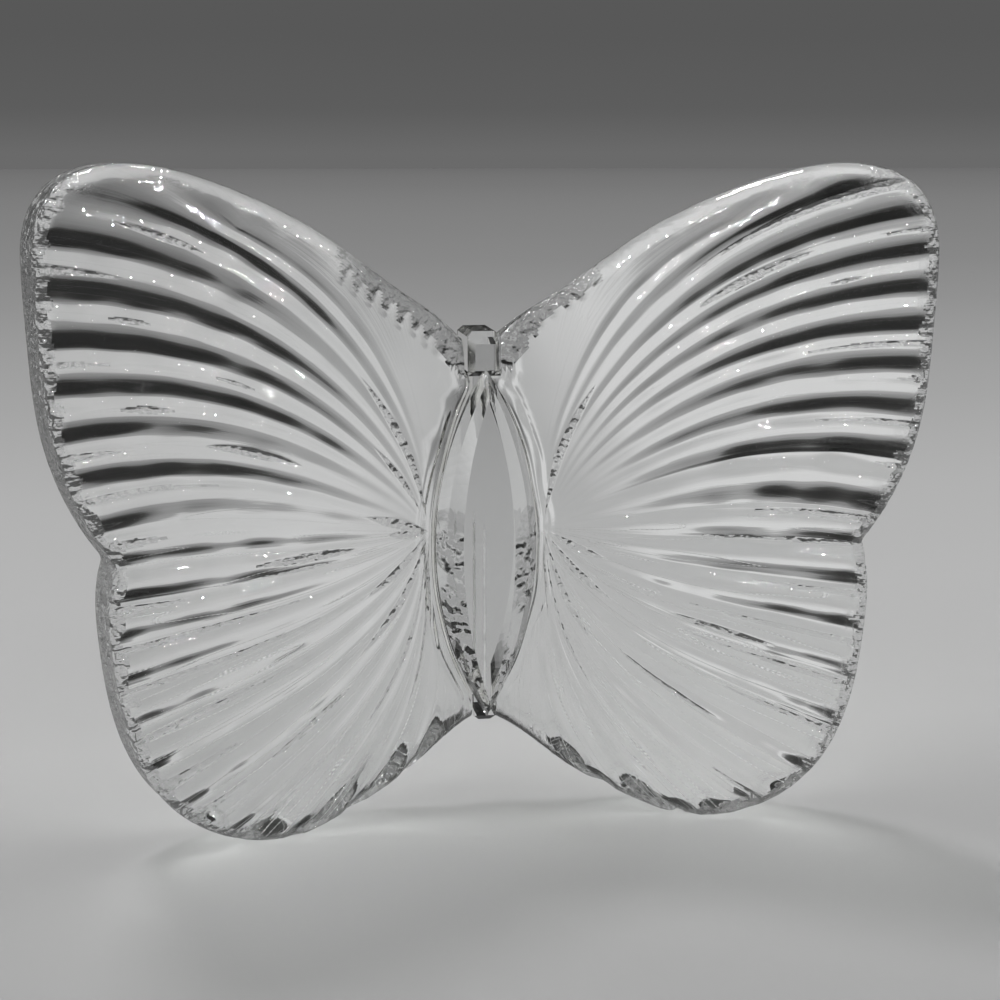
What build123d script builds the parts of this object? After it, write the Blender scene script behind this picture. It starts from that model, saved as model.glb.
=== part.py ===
"""Clear crystal butterfly: a cut body with a fluted wing cemented to each cheek.

The wings open towards the viewer in a shallow V, and the butterfly stands on a small
flat ground on the lowest point of each wing. Millimetres, +Z up, the front faces -Y.
The origin is on the floor, under the middle of the whole butterfly.
"""

import os
from math import asin, atan2, cos, degrees, hypot, radians, sin, sqrt

from build123d import *

os.makedirs("parts", exist_ok=True)

# Wings: reach is measured along the wing from the fold line, where the two wings' middle
# planes cross, and height from the floor
wing_sweep = 18.0
wing_reach = 67.4
wing_height = 98.6
wing_thickness = 10.0
front_rim_radius = 2.6
back_rim_radius = 0.9
notch_radius = 1.6
foot_grind = 0.35

# The front face falls away in a wide round towards the leading edge
crown_reach = 24.0
crown_drop = 3.2

# Body: an upright almond, cut with a flat front pane and bevels, on a keel that carries the
# square head. Depths are measured to the front and to the back of the fold line
almond_half_width = 7.6
almond_bottom = 15.4
almond_top = 68.6
almond_front = 11.2
almond_back = 5.4
front_bevel = 3.2
brow_bevel = 1.2
brow_half_width = 6.2
brow_bottom = 16.6
brow_top = 67.2
back_bevel = 1.6
back_slope = 7.0
pane_half_width = 3.9
pane_bottom = 18.6
pane_top = 64.6
back_pane_inset = 2.2
keel_half_width = 1.7
keel_bottom = 14.2
keel_front = 6.2
head_half_width = 2.5
head_bottom = 67.4
head_top = 74.0
head_front = 7.8
head_taper = 30.0
edge_break = 0.8

# Cement between a wing and the cheek that it is bonded to
cement_thickness = 0.15

# Flutes: pressed valleys that fan out from one point beside the body, where they are a
# small share of their full size
fan_reach = 9.6
fan_height = 44.5
flute_depth = 1.05
flute_lip = 0.12
flute_station_shares = (0.14, 0.40, 0.70, 1.00)
flank_width_share = 0.49
handle_share = 0.38
fore_bend = 36.0
hind_bend = 28.0
fore_droop = 18.0
fore_end_share = 0.64
hind_end_share = 0.68

# Slivers: narrow sharp grooves that start at the rim and taper to a point further in
sliver_depth = 0.9
sliver_tip_share = 0.04

# Nicks pressed across the leading edge beside the head, coarse on the left wing and fine on
# the right one: how many, how wide, how deep and how far in they reach
left_nick_count = 9
left_nick_width = 2.5
left_nick_depth = 1.6
left_nick_reach = 4.2
right_nick_count = 8
right_nick_width = 2.0
right_nick_depth = 0.6
right_nick_reach = 3.0

# One overrun serves every cut that has to pass right through
overrun = 3.0

# Outline of a wing as shares of its reach and its height
leading_edge_shares = (
    (-0.030, 0.692), (0.080, 0.760), (0.188, 0.812), (0.358, 0.894), (0.583, 0.968), (0.800, 1.000),
)
wing_tip_shares = ((0.923, 1.000), (0.998, 0.960), (1.000, 0.870))
outer_edge_shares = ((0.994, 0.750), (0.976, 0.623), (0.857, 0.441))
hind_edge_shares = ((0.871, 0.309), (0.848, 0.203), (0.774, 0.088), (0.629, 0.013))
hind_bottom_share = 0.500
trailing_edge_shares = ((0.362, 0.021), (0.206, 0.073), (0.110, 0.118), (-0.030, 0.150))

# Directions of the outline where its curves start and end
root_direction = (1, 0.6)
level_direction = (1, 0)
down_direction = (0, -1)
into_notch_direction = (-1, -1.3)
out_of_notch_direction = (0.4, -1)
inward_direction = (-1, 0)

# Where the flutes meet the rim, as shares of the reach and the height. The two wings were
# finished by hand, and their flutes differ
right_rim_shares = (
    (0.927, 0.978), (0.987, 0.924), (1.000, 0.870), (0.999, 0.818), (0.995, 0.762),
    (0.990, 0.699), (0.980, 0.637), (0.955, 0.568), (0.899, 0.483),
    (0.858, 0.439), (0.868, 0.378), (0.870, 0.299), (0.858, 0.231), (0.822, 0.152),
    (0.747, 0.071), (0.636, 0.015), (0.488, 0.000), (0.296, 0.041),
)
left_rim_shares = (
    (0.955, 0.962), (0.998, 0.892), (0.999, 0.826), (0.994, 0.749), (0.988, 0.686),
    (0.975, 0.619), (0.948, 0.555), (0.901, 0.486),
    (0.873, 0.385), (0.873, 0.325), (0.867, 0.264), (0.852, 0.205), (0.814, 0.137),
    (0.732, 0.061), (0.621, 0.013), (0.488, 0.000), (0.348, 0.025), (0.214, 0.071),
)

# Where the sliver in each of those valleys starts, as a share of the valley's length
right_sliver_shares = (
    0.56, 0.88, 0.86, 0.90, 0.68, 0.90, 0.68, 0.88, 0.60,
    0.35, 0.60, 0.40, 0.40, 0.62, 0.70, 0.80, 0.86, 0.88,
)
left_sliver_shares = (
    0.80, 0.84, 0.88, 0.84, 0.88, 0.82, 0.60, 0.80,
    0.76, 0.35, 0.35, 0.45, 0.60, 0.74, 0.80, 0.78, 0.80, 0.86,
)

# Line under the leading edge that the fall of the front face follows, and the stretches of
# that edge which carry the nicks
crown_line_shares = ((0.080, 0.760), (0.583, 0.968))
left_nick_shares = (0.14, 0.44)
right_nick_shares = (0.10, 0.34)

# The whole butterfly is centred front to back on the origin
wing_front = (
    (wing_reach - front_rim_radius) * sin(radians(wing_sweep))
    + (wing_thickness / 2 - front_rim_radius) * cos(radians(wing_sweep))
    + front_rim_radius
)
fold_y = (wing_front - almond_back) / 2

# A wing's own plane: along the wing, up, and out of its front face
wing_plane = Plane(
    origin=(0, fold_y, 0),
    x_dir=(cos(radians(wing_sweep)), -sin(radians(wing_sweep)), 0),
    z_dir=(-sin(radians(wing_sweep)), -cos(radians(wing_sweep)), 0),
)
front_plane = Plane.XZ.offset(-fold_y)
crown_radius = (crown_reach**2 + crown_drop**2) / (2 * crown_drop)


def on_wing(shares):
    """Points of the wing plane from shares of the reach and the height."""
    return [(reach * wing_reach, height * wing_height) for reach, height in shares]


def in_wing(direction):
    """A direction drawn in the wing plane, as it lies in space."""
    return wing_plane.x_dir * direction.X + wing_plane.y_dir * direction.Y


def crown_line():
    """Start of the line under the leading edge, and the direction away from that edge."""
    low, high = [Vector(*point) for point in on_wing(crown_line_shares)]
    chord = (high - low).normalized()
    return low, Vector(chord.Y, -chord.X)


def on_front(point):
    """Place on the front face over a point of the wing plane, and the way it faces there."""
    low, away = crown_line()
    lean = asin(max(crown_reach - (point - low).dot(away), 0) / crown_radius)
    level = wing_plane.offset(wing_thickness / 2 - crown_radius * (1 - cos(lean)))
    return level.from_local_coords(point), level.z_dir * cos(lean) - in_wing(away) * sin(lean)


def leading_edge():
    """The upper edge of a wing, from the head to the tip."""
    return Spline(*on_wing(leading_edge_shares), tangents=(root_direction, level_direction))


def wing_outline():
    """Outline of a wing, drawn past the body, with the notch between its two lobes."""
    with BuildSketch(wing_plane.offset(-wing_thickness / 2)) as outline:
        with BuildLine():
            leading = leading_edge()
            tip = Bezier(leading @ 1, *on_wing(wing_tip_shares))
            outer = Spline(
                tip @ 1,
                *on_wing(outer_edge_shares),
                tangents=(down_direction, into_notch_direction),
            )
            hind = Spline(
                outer @ 1,
                *on_wing(hind_edge_shares),
                (hind_bottom_share * wing_reach, -foot_grind),
                tangents=(out_of_notch_direction, inward_direction),
            )
            trailing = Spline(
                hind @ 1,
                *on_wing(trailing_edge_shares),
                tangents=(inward_direction, inward_direction),
            )
            Line(trailing @ 1, leading @ 0)
        make_face()
        notch = outline.vertices().sort_by_distance(outer @ 1)[0]
        fillet(notch, radius=notch_radius)
    return outline.sketch


def almond(plane, half_width, bottom, top):
    """A pointed oval of two arcs, upright in the front view."""
    with BuildSketch(plane) as oval:
        with BuildLine():
            middle = (bottom + top) / 2
            ThreePointArc((0, bottom), (half_width, middle), (0, top))
            ThreePointArc((0, top), (-half_width, middle), (0, bottom))
        make_face()
    return oval.sketch


def keel(plane, clearance, low, high):
    """Front view of the keel and the head, moved outwards by a clearance."""
    with BuildSketch(plane) as upright:
        with BuildLine():
            Polyline(
                (-keel_half_width - clearance, low),
                (-keel_half_width - clearance, head_bottom - clearance),
                (-head_half_width - clearance, head_bottom - clearance),
                (-head_half_width - clearance, high),
                (head_half_width + clearance, high),
                (head_half_width + clearance, head_bottom - clearance),
                (keel_half_width + clearance, head_bottom - clearance),
                (keel_half_width + clearance, low),
                close=True,
            )
        make_face()
    return upright.sketch


def cheeks(clearance):
    """Front view of the body, from below the wings to above them."""
    with BuildSketch(front_plane) as view:
        add(
            almond(
                Plane.XY,
                almond_half_width + clearance,
                almond_bottom - clearance,
                almond_top + clearance,
            )
        )
        add(keel(Plane.XY, clearance, -overrun, wing_height + overrun))
    return view.sketch


def crown():
    """What the round along the leading edge takes off the front face."""
    low, away = crown_line()
    across = Plane(
        origin=wing_plane.offset(wing_thickness / 2).from_local_coords(low),
        x_dir=in_wing(away),
        z_dir=in_wing(away).cross(wing_plane.z_dir),
    )
    outside = crown_reach + overrun
    with BuildPart() as cutter:
        with BuildSketch(across):
            with BuildLine():
                fall = TangentArc(
                    (crown_reach, 0),
                    (-overrun, sqrt(crown_radius**2 - outside**2) - crown_radius),
                    tangent=inward_direction,
                )
                Polyline(fall @ 1, (-overrun, overrun), (crown_reach, overrun), fall @ 0)
            make_face()
        extrude(amount=wing_height, both=True)
    return cutter.part


def plate():
    """A wing before it is cut: its outline, crowned, with rounded rims and a ground foot."""
    with BuildPart() as blank:
        extrude(wing_outline(), amount=wing_thickness)
        add(crown(), mode=Mode.SUBTRACT)
        for facing, radius in ((1, front_rim_radius), (-1, back_rim_radius)):
            flats = [
                face
                for face in blank.faces()
                if facing * face.normal_at().dot(wing_plane.z_dir) > cos(radians(wing_sweep))
            ]
            edges = [edge for face in flats for edge in face.edges()]
            fillet([edge for edge in edges if edge.geom_type != GeomType.LINE], radius=radius)
        split(bisect_by=Plane.XY, keep=Keep.TOP)
    return blank.part


def fan_line(rim_point):
    """Middle of a valley in the wing plane, from beside the body out to the rim."""
    start = Vector(fan_reach, fan_height)
    rim = Vector(*rim_point)
    along = rim - start
    turn = degrees(atan2(along.Y, along.X))
    fore = turn > 0
    leave = turn + (fore_bend if fore else hind_bend) * sin(radians(2 * turn))
    arrive = fore_end_share * turn - fore_droop if fore else hind_end_share * turn
    handle = handle_share * along.length
    with BuildLine():
        valley = Bezier(
            start,
            start + Vector(handle, 0).rotate(Axis.Z, leave),
            rim - Vector(handle, 0).rotate(Axis.Z, arrive),
            rim,
        )
    return valley


def station(valley, share):
    """Plane across a valley at a share of its length, square to the front face."""
    tangent = valley % min(share, 1)
    place, facing = on_front(valley @ min(share, 1) + tangent * max(share - 1, 0) * valley.length)
    along = in_wing(tangent)
    return Plane(origin=place, x_dir=facing.cross(along), z_dir=along)


def flute(rim_point, width):
    """Cutter of one valley, shallow and narrow beside the body and full size at the rim."""
    valley = fan_line(rim_point)
    with BuildPart() as cutter:
        for share in flute_station_shares + (1 + overrun / valley.length,):
            with BuildSketch(station(valley, share)):
                with BuildLine():
                    half = flank_width_share * width * share
                    depth, lip = flute_depth * share, flute_lip * share
                    wave = Spline(
                        (-half, lip),
                        (-half / 2, (lip - depth) / 2),
                        (0, -depth),
                        (half / 2, (lip - depth) / 2),
                        (half, lip),
                        tangents=(level_direction, level_direction),
                    )
                    Polyline(wave @ 1, (half, overrun), (-half, overrun), wave @ 0)
                make_face()
        loft()
    return cutter.part


def groove(plane, half, depth):
    """Section of a groove: a V whose sides stand up past the front face."""
    with BuildSketch(plane) as section:
        with BuildLine():
            Polyline(
                (0, -depth), (half, 0), (half, overrun), (-half, overrun), (-half, 0), close=True
            )
        make_face()
    return section.sketch


def sliver(rim_point, width, start_share):
    """Cutter of the sharp groove in the bottom of a valley, from a point out to the rim."""
    valley = fan_line(rim_point)
    end_share = 1 + overrun / valley.length
    sections = []
    for share in (start_share, (start_share + end_share) / 2, end_share):
        half = flank_width_share * width * share
        grown = sliver_tip_share + (share - start_share) / (end_share - start_share)
        depth = flute_depth * share + sliver_depth * grown
        sections.append(groove(station(valley, share), half, depth))
    with BuildPart() as cutter:
        loft(sections)
    return cutter.part


def nick(share, width, depth, reach):
    """Cutter of one nick across the leading edge, deep at the edge and closing inwards."""
    with BuildLine():
        edge = leading_edge()
    inward = Vector(0, 0, -1).cross(edge % share)
    across = in_wing(inward)
    sections = []
    for distance, size in ((-overrun, (reach + overrun) / reach), (reach, sliver_tip_share)):
        place, facing = on_front(edge @ share + inward * distance)
        plane = Plane(origin=place, x_dir=facing.cross(across), z_dir=across)
        sections.append(groove(plane, width / 2 * size, depth * size))
    with BuildPart() as cutter:
        loft(sections, ruled=True)
    return cutter.part


def fluted_wing(rim_shares, sliver_shares, nick_shares, nick_count, nick_sizes):
    """One wing on the right of the body, cut back from its cheek, fluted and nicked."""
    rim_points = on_wing(rim_shares)
    gaps = [hypot(b[0] - a[0], b[1] - a[1]) for a, b in zip(rim_points, rim_points[1:])]
    widths = [min(pair) for pair in zip(gaps[:1] + gaps, gaps + gaps[-1:])]
    first, last = nick_shares
    steps = [first + (last - first) * index / (nick_count - 1) for index in range(nick_count)]
    with BuildPart() as cut:
        add(plate())
        extrude(cheeks(cement_thickness), amount=wing_reach, both=True, mode=Mode.SUBTRACT)
        split(bisect_by=Plane.YZ, keep=Keep.TOP)
        add([flute(*valley) for valley in zip(rim_points, widths)], mode=Mode.SUBTRACT)
        add([sliver(*groove) for groove in zip(rim_points, widths, sliver_shares)], mode=Mode.SUBTRACT)
        add([nick(step, *nick_sizes) for step in steps], mode=Mode.SUBTRACT)
    return cut.part


def cement():
    """The thin film between the right cheek and its wing."""
    with BuildPart() as film:
        add(plate())
        extrude(cheeks(cement_thickness), amount=wing_reach, both=True, mode=Mode.INTERSECT)
        extrude(cheeks(0), amount=wing_reach, both=True, mode=Mode.SUBTRACT)
        split(bisect_by=Plane.YZ, keep=Keep.TOP)
    return film.part


with BuildPart() as body:
    upright = keel(front_plane.offset(-almond_back), 0, keel_bottom, head_top)
    extrude(upright, amount=almond_back + keel_front)
    ends = body.faces().sort_by(Axis.Z)
    chamfer(ends[0].edges() + ends[-1].edges(), length=edge_break)
    with BuildSketch(front_plane.offset(keel_front)):
        with Locations((0, (head_bottom + head_top - edge_break) / 2)):
            Rectangle(2 * head_half_width, head_top - edge_break - head_bottom)
    extrude(amount=head_front - keel_front, taper=head_taper)
    shoulder = almond_front - front_bevel
    nape = back_bevel - almond_back
    oval = (almond_half_width, almond_bottom, almond_top)
    extrude(almond(front_plane.offset(nape), *oval), amount=shoulder - nape)
    brow = almond(
        front_plane.offset(almond_front - brow_bevel), brow_half_width, brow_bottom, brow_top
    )
    pane = almond(front_plane.offset(almond_front), pane_half_width, pane_bottom, pane_top)
    loft([almond(front_plane.offset(shoulder), *oval), brow], ruled=True)
    loft([brow, pane], ruled=True)
    back_pane = almond(
        front_plane.offset(-almond_back),
        almond_half_width - back_pane_inset,
        almond_bottom + back_pane_inset,
        almond_top - back_pane_inset,
    )
    loft([almond(front_plane.offset(nape), *oval), back_pane], ruled=True)
    spine = Plane(origin=(0, fold_y + almond_back, 0), z_dir=(0, 1, 0))
    for turn in (back_slope, -back_slope):
        split(bisect_by=spine.rotated((0, turn, 0)), keep=Keep.BOTTOM)
body.part.label = "body"
export_step(body.part, "parts/body.step")

with BuildPart() as right_wing:
    add(
        fluted_wing(
            right_rim_shares,
            right_sliver_shares,
            right_nick_shares,
            right_nick_count,
            (right_nick_width, right_nick_depth, right_nick_reach),
        )
    )
right_wing.part.label = "right_wing"
export_step(right_wing.part, "parts/right_wing.step")

with BuildPart() as left_wing:
    mirrored = fluted_wing(
        left_rim_shares,
        left_sliver_shares,
        left_nick_shares,
        left_nick_count,
        (left_nick_width, left_nick_depth, left_nick_reach),
    )
    mirror(mirrored, about=Plane.YZ)
left_wing.part.label = "left_wing"
export_step(left_wing.part, "parts/left_wing.step")

with BuildPart() as right_cement:
    add(cement())
right_cement.part.label = "right_cement"
export_step(right_cement.part, "parts/right_cement.step")

with BuildPart() as left_cement:
    mirror(cement(), about=Plane.YZ)
left_cement.part.label = "left_cement"
export_step(left_cement.part, "parts/left_cement.step")
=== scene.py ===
import math

import bmesh
import bpy
import numpy as np
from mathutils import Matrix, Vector
from mathutils.geometry import delaunay_2d_cdt


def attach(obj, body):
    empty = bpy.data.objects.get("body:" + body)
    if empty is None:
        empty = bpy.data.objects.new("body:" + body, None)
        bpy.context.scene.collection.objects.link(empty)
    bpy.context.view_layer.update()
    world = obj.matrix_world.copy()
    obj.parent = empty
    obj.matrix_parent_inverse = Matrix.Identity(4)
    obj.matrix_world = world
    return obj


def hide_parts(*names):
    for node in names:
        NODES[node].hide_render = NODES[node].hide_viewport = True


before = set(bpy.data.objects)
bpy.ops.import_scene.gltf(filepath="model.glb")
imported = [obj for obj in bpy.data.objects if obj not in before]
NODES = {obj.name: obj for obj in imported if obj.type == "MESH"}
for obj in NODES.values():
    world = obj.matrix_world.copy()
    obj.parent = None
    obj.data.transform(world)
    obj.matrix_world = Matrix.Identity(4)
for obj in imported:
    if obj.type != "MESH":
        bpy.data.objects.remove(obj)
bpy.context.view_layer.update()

MM = 0.001

# ---------------------------------------------------------------- sizes, in millimetres
SWEEP = math.radians(18.0)
REACH, HEIGHT, THICK, NOTCH, GRIND = 67.4, 98.6, 10.0, 1.6, 0.35
ALMOND, LOW, HIGH = 7.6, 15.4, 68.6
KEEL, HEAD, HEAD_LOW, FILM = 1.7, 2.5, 67.4, 0.15
FOLD_Y = 9.7534  # where the middle planes of the two wings meet
ROOT = np.array([9.6, 44.5])  # where the fan of valleys starts, in the plane of a wing
RIM_FRONT, RIM_BACK = 2.6, 0.9  # radii of the rounded edges
BACK = -THICK / 2
HEAD_CORNER = (4.0, 71.0)  # where the leading edge meets the head
JOINT_HEIGHTS = (13.6, 72.6)  # between these a wing is bonded to the body
CHIPPED_HEIGHTS = (16.5, 48.0)  # between these the bevels of the body are chipped

# outline of a wing, in shares of its reach and height
LEADING = [(-0.030, 0.692), (0.080, 0.760), (0.188, 0.812), (0.358, 0.894), (0.583, 0.968),
           (0.800, 1.000)]
TIP = [(0.800, 1.000), (0.923, 1.000), (0.998, 0.960), (1.000, 0.870)]
OUTER = [(1.000, 0.870), (0.994, 0.750), (0.976, 0.623), (0.857, 0.441)]
HIND = [(0.857, 0.441), (0.871, 0.309), (0.848, 0.203), (0.774, 0.088), (0.629, 0.013)]
TRAILING = [(0.362, 0.021), (0.206, 0.073), (0.110, 0.118), (-0.030, 0.150)]
NOTCH_ANGLE = math.radians(59.4)  # between the two edges that meet in the notch

# the leading edge falls away in a low crown
CROWN_REACH, CROWN_DROP = 24.0, 3.2
CROWN_RADIUS = (CROWN_REACH**2 + CROWN_DROP**2) / (2 * CROWN_DROP)
CROWN_AT = np.array([0.080 * REACH, 0.760 * HEIGHT])
CROWN_DOWN = np.array([0.515, -0.857])


# ---------------------------------------------------------------- nodes
BLACK, WHITE = (0, 0, 0, 1), (1, 1, 1, 1)


def even(value):
    """A neutral colour from one linear value."""
    return (value, value, value, 1)


def grey(value, tint=(1.0, 1.0, 1.0)):
    """Linear colour from a displayed grey of 0 to 255."""
    c = value / 255
    c = c / 12.92 if c <= 0.04045 else ((c + 0.055) / 1.055) ** 2.4
    return (c * tint[0], c * tint[1], c * tint[2], 1.0)


def material(name):
    mat = bpy.data.materials.new(name)
    mat.use_nodes = True
    mat.node_tree.nodes.clear()
    return mat, mat.node_tree


def feed(tree, made, key, value):
    """Set an input or a setting of a node, or link another node's output to the input."""
    if isinstance(value, bpy.types.NodeSocket):
        tree.links.new(value, made.inputs[key])
    elif isinstance(key, int) or key in made.inputs:
        made.inputs[key].default_value = value
    else:
        setattr(made, key, value)


def node(tree, kind, *inputs, **values):
    """A new shader node, with its inputs in order or by name, and its settings by name."""
    made = tree.nodes.new("ShaderNode" + kind)
    for key, value in [*values.items(), *enumerate(inputs)]:
        feed(tree, made, key, value)
    return made


def noise(tree, place, scale, detail):
    return node(tree, "TexNoise", Vector=place, Scale=scale, Detail=detail).outputs["Fac"]


def calc(tree, operation, *values):
    return node(tree, "Math", *values, operation=operation).outputs[0]


def parts(tree, vector):
    """The x, y and z of a vector."""
    return node(tree, "SeparateXYZ", vector).outputs


def remap(tree, value, low, high, to_low=0.0, to_high=1.0, kind="LINEAR"):
    """A value between two limits as one between two other limits, which it doesn't leave."""
    made = node(tree, "MapRange", value, low, high, to_low, to_high, interpolation_type=kind)
    return made.outputs["Result"]


def ramp(tree, value, stops):
    """A colour that goes by a value, through the colours of the stops."""
    made = node(tree, "ValToRGB", value)
    elements = made.color_ramp.elements
    while len(elements) > 1:
        elements.remove(elements[-1])
    elements[0].position, elements[0].color = stops[0]
    for place, colour in stops[1:]:
        elements.new(place).color = colour
    return made.outputs["Color"]


def blended(tree, share, one, two):
    """The first colour, with a share of the second."""
    made = node(tree, "Mix", data_type="RGBA")
    for key, value in ((0, share), (6, one), (7, two)):
        feed(tree, made, key, value)
    return made.outputs[2]


def relief(tree, height, depth, strength=1.0, under=None):
    """Normals for a relief up to so many metres deep, on top of other normals."""
    made = node(tree, "Bump", Height=height, Distance=depth, Strength=strength)
    if under is not None:
        feed(tree, made, "Normal", under)
    return made.outputs["Normal"]


def mixed(tree, share, one, two):
    """The first shader, with a share of the second."""
    return node(tree, "MixShader", share, one.outputs[0], two.outputs[0])


# ---------------------------------------------------------------- materials of the part
IOR = 1.545
SHADE_TINTS = (0.975, 0.985, 0.982), (0.995, 0.998, 0.996)
SHADOW_TINT = (0.58, 0.59, 0.58, 1)  # what the glass lets through of a lamp
# the lighter tint where the teeth's painted shade fades
TOOTH_TINT = (0.86, 0.87, 0.865, 1)
PAINTED_LINE_SHIFT = 0.0008  # how far the painted highlight line lies to the left of the middle, in metres


def streaks(tree, flow, depth, under):
    """Fine streaks along the flutes, which fade in away from the root."""
    drawn = node(tree, "Mapping", Vector=flow, Scale=(0.95, 0.06, 0.5)).outputs[0]
    grow = remap(tree, parts(tree, flow)["Y"], 14.0, 34.0)
    return relief(tree, noise(tree, drawn, 1.0, 3.0), depth, grow, under)


def lines_with_painted_highlights(tree, flow, depth, under):
    """Fine beaded lines along the flutes, strongest on the hind wing: a faint relief, and painted
    highlights.

    Gives their normals and the glass's transmission, which is low on them, so that they show white
    as painted highlights.
    """
    drawn = node(tree, "Mapping", Vector=flow, Scale=(0.27, 0.010, 0.3)).outputs[0]
    levels = ramp(tree, noise(tree, drawn, 1.0, 1.0), [
        (0.0, BLACK), (0.424, BLACK), (0.430, WHITE), (0.436, BLACK),
        (0.554, BLACK), (0.560, WHITE), (0.566, BLACK),
    ])
    spread, outward, _ = parts(tree, flow)
    # beads along each line, a painted beaded highlight
    painted_beads = calc(tree, "SINE", calc(tree, "MULTIPLY", outward, 6.5))
    size = remap(tree, painted_beads, -1.0, 1.0, 0.5, 1.0)
    hind = remap(tree, spread, 122.0, 138.0, 0.12, 1.0)
    height = calc(tree, "MULTIPLY", levels, calc(tree, "MULTIPLY", size, hind))
    return relief(tree, height, depth, 1.0, under), remap(tree, height, 0.0, 1.0, 1.0, 0.1)


def chips(tree, place):
    """How strong the dents in the bevels are: they fade out towards the top."""
    dents = ramp(tree, noise(tree, place, 150.0, 1.0), [(0.38, even(0.05)), (0.50, WHITE)])
    fade = remap(tree, parts(tree, place)["Z"], 0.049, 0.044)
    return calc(tree, "MULTIPLY", dents, fade)


def painted_pane_highlight(tree, place):
    """The glass's transmission, which is low on the broken bright line down the pane, a painted
    highlight.
    """
    x, _, z = parts(tree, place)
    away = calc(tree, "ABSOLUTE", calc(tree, "ADD", x, PAINTED_LINE_SHIFT))
    thin = remap(tree, away, 0.00026, 0.00012)
    upper = remap(tree, z, 0.046, 0.043)
    lower = remap(tree, z, 0.018, 0.021)
    gaps = ramp(tree, noise(tree, place, 260.0, 1.0), [(0.36, even(0.35)), (0.5, WHITE)])
    line = calc(
        tree, "MULTIPLY",
        calc(tree, "MULTIPLY", thin, upper), calc(tree, "MULTIPLY", lower, gaps),
    )
    return remap(tree, line, 0.0, 1.0, 1.0, 0.12)


def crystal(name, ripple, scale, rough, streak=0.0, lines=0.0, clear=1.0, tone=1.0, body=""):
    """Clear crystal: slight ripples from pressing, faint haze in patches, lamps shine through it.

    The depths of ripple, streak and lines are in metres. Streaks and drawn lines follow the
    flutes, through the mesh's "flow" values. These are the place along the rim in millimetres,
    FLUTE times the share of the way out from the root, and how far a point is into the
    toothed band. The drawn lines are partly painted highlights, and a tone below 1 darkens
    the glass's colour as painted shade. "body" adds what one kind of glass has alone: the
    fading of the teeth's painted shade, chips or the pane's painted highlight line.
    """
    mat, tree = material(name)
    place = node(tree, "TexCoord").outputs["Object"]
    flow = node(tree, "Attribute", attribute_name="flow").outputs["Vector"]
    dark, pale = (tuple(c * tone for c in tint) + (1,) for tint in SHADE_TINTS)
    tint = ramp(tree, noise(tree, place, 38.0, 2.0), [(0.3, dark), (0.7, pale)])
    haze = ramp(tree, noise(tree, place, 160.0, 3.0), [(0.45, BLACK), (0.75, even(rough))])
    strength = 1.0
    # the teeth's painted shade gives way to a lighter tint at the rim and towards the band's end
    if body == "teeth":
        tint = blended(tree, parts(tree, flow)["Z"], TOOTH_TINT, tint)
    if body == "chips":
        strength = chips(tree, place)
    # the pane's painted highlight line
    if body == "line":
        clear = painted_pane_highlight(tree, place)
    normal = relief(tree, noise(tree, place, scale, 1.5), ripple, strength)
    if streak:
        normal = streaks(tree, flow, streak, normal)
    if lines:
        normal, clear = lines_with_painted_highlights(tree, flow, lines, normal)
    glass = node(tree, "BsdfPrincipled", IOR=IOR, Roughness=haze, Normal=normal,
                 **{"Base Color": tint, "Transmission Weight": clear})
    shadow = node(tree, "BsdfTransparent", Color=SHADOW_TINT)
    rays = node(tree, "LightPath").outputs
    shown = mixed(tree, rays["Is Shadow Ray"], glass, shadow)
    node(tree, "OutputMaterial", shown.outputs[0])
    return mat


def seam(name, tint):
    """Clear cement between two bonded faces: light goes straight on, with a faint tint."""
    mat, tree = material(name)
    place = node(tree, "TexCoord").outputs["Object"]
    shades = ramp(tree, noise(tree, place, 300.0, 3.0), [(0.35, tint), (0.65, WHITE)])
    clear = node(tree, "BsdfTransparent", Color=shades)
    node(tree, "OutputMaterial", clear.outputs[0])
    return mat


WING_GLASS = crystal("crystal_wing", 0.00012, 60.0, 0.03, streak=0.00003, lines=0.00002)
# The teeth, rim, body and chipped bevels are darker copies of the clear crystal: their lower tone
# is painted shade. The body also has a painted highlight line down its pane.
TOOTH_GLASS = crystal(
    "crystal_teeth_painted_shade", 0.0014, 620.0, 0.08, streak=0.0010, clear=0.95, tone=0.36, body="teeth")
RIM_GLASS = crystal("crystal_rim_painted_shade", 0.0013, 700.0, 0.12, streak=0.0005, clear=0.82, tone=0.86)
BODY_GLASS = crystal("crystal_body", 0.00006, 90.0, 0.02, tone=0.86, body="line")
CHIPPED_GLASS = crystal("crystal_chipped_painted_shade", 0.0019, 430.0, 0.06, tone=0.60, body="chips")
JOINT = seam("cement_joint", (0.97, 0.97, 0.96, 1))
CEMENT = seam("optical_cement", (0.95, 0.95, 0.93, 1))
WING_SLOTS = (WING_GLASS, JOINT, RIM_GLASS, TOOTH_GLASS)
BODY_SLOTS = (BODY_GLASS, JOINT, CHIPPED_GLASS)
IN_CLEAR, IN_JOINT, IN_RIM, IN_TEETH = range(4)
IN_CHIPS = 2


# ---------------------------------------------------------------- outline of a wing
def unit(v):
    v = np.array(v, float)
    return v / np.hypot(*v)


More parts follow.
